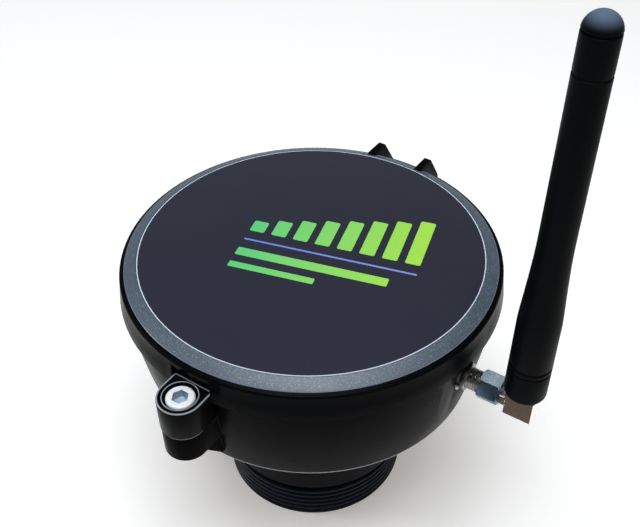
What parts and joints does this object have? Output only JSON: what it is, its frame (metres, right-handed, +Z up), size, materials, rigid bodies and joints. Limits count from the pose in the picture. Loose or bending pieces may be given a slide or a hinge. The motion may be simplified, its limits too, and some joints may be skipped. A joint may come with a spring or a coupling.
{
  "type": "tank level sensor",
  "caption": "Round black tank level sensor head with a hinged lid, on a threaded neck that holds an ultrasonic transducer, with a whip antenna at its side.",
  "frame": {"origin": "on the neck's axis, at the neck's bottom face", "axes": "+Z up along the neck's axis, +X towards the antenna, +Y towards the lid's hinge"},
  "size_m": [0.1337, 0.1333, 0.1834],
  "materials": {
    "housing_plastic": "black moulded nylon, fine texture",
    "lid_plastic": "black moulded nylon, sparked texture",
    "neck_plastic": "black moulded nylon, smooth",
    "label_film": "dark slate printed film",
    "seal_rubber": "black sealing rubber",
    "zinc_steel": "bright zinc plated steel",
    "pin_steel": "stainless steel",
    "insert_brass": "brass",
    "capsule_plastic": "dark moulded plastic",
    "piezo_ceramic": "fired ceramic with silvered faces",
    "absorber_foam": "dense damping rubber",
    "board_green": "green glass fibre board",
    "shield_metal": "tinned shield can",
    "socket_plastic": "natural nylon",
    "switch_black": "black plastic and tinned steel",
    "button_blue": "blue plastic",
    "led_clear": "clear epoxy",
    "tray_plastic": "black polypropylene",
    "cell_wrap": "printed steel can",
    "contact_nickel": "nickel plated spring steel",
    "lead_jacket": "soft black jacket",
    "connector_nickel": "nickel plated brass",
    "antenna_rubber": "black satin overmoulding"
  },
  "bodies": {
    "housing": {"housing_body": "housing_plastic", "threaded_neck": "neck_plastic", "neck_seal": "seal_rubber", "neck_screws": "zinc_steel", "lid_seal": "seal_rubber", "hinge_pin": "pin_steel", "lug_insert": "insert_brass", "transducer_capsule": "capsule_plastic", "transducer_seal": "seal_rubber", "piezo_disc": "piezo_ceramic", "transducer_absorber": "absorber_foam", "retaining_clip": "pin_steel", "transducer_lead": "lead_jacket", "circuit_board": "board_green", "board_screws": "zinc_steel", "radio_module": "shield_metal", "status_led": "led_clear", "switch_body": "switch_black", "battery_socket": "socket_plastic", "sensor_socket": "socket_plastic", "battery_tray": "tray_plastic", "battery_cell_1": "cell_wrap", "battery_cell_2": "cell_wrap", "battery_cell_3": "cell_wrap", "battery_cell_4": "cell_wrap", "battery_contacts": "contact_nickel", "battery_lead": "lead_jacket", "coax_plug": "connector_nickel", "antenna_coax": "lead_jacket", "antenna_jack": "connector_nickel", "lock_washer": "connector_nickel", "jack_nut": "connector_nickel"},
    "lid": {"lid": "lid_plastic", "label_disc": "label_film"},
    "washer": {"screw_washer": "zinc_steel"},
    "screw": {"closure_screw": "zinc_steel"},
    "button": {"pairing_button": "button_blue"},
    "antenna": {"antenna_elbow": "connector_nickel", "antenna_sleeve": "antenna_rubber"},
    "coupling": {"coupling_nut": "connector_nickel"}
  },
  "joints": [
    {"name": "lid_hinge", "type": "hinge", "parent": "housing", "child": "lid", "pos_m": [-0.00185, 0.0615, 0.0806], "axis": [-1, 0, 0], "range_deg": [0, 110]},
    {"name": "screw_travel", "type": "slide", "parent": "lid", "child": "washer", "axis": [0, 0, 1], "range_m": [0, 0.0068]},
    {"name": "screw_turn", "type": "hinge", "parent": "washer", "child": "screw", "pos_m": [0, -0.0608, 0.08], "axis": [0, 0, 1], "range_deg": [0, 3060]},
    {"name": "button_press", "type": "slide", "parent": "housing", "child": "button", "axis": [0, 0, -1], "range_m": [0, 0.0005], "stiffness_N_per_m": 3000},
    {"name": "antenna_swivel", "type": "hinge", "parent": "housing", "child": "antenna", "pos_m": [0.0706, 0, 0.0678], "axis": [1, 0, 0], "continuous": true},
    {"name": "coupling_turn", "type": "hinge", "parent": "antenna", "child": "coupling", "pos_m": [0.0612, 0, 0.0678], "axis": [1, 0, 0], "continuous": true}
  ],
  "couplings": [
    {"joint": "screw_turn", "follows": "screw_travel", "rad_per_m": 7854}
  ]
}
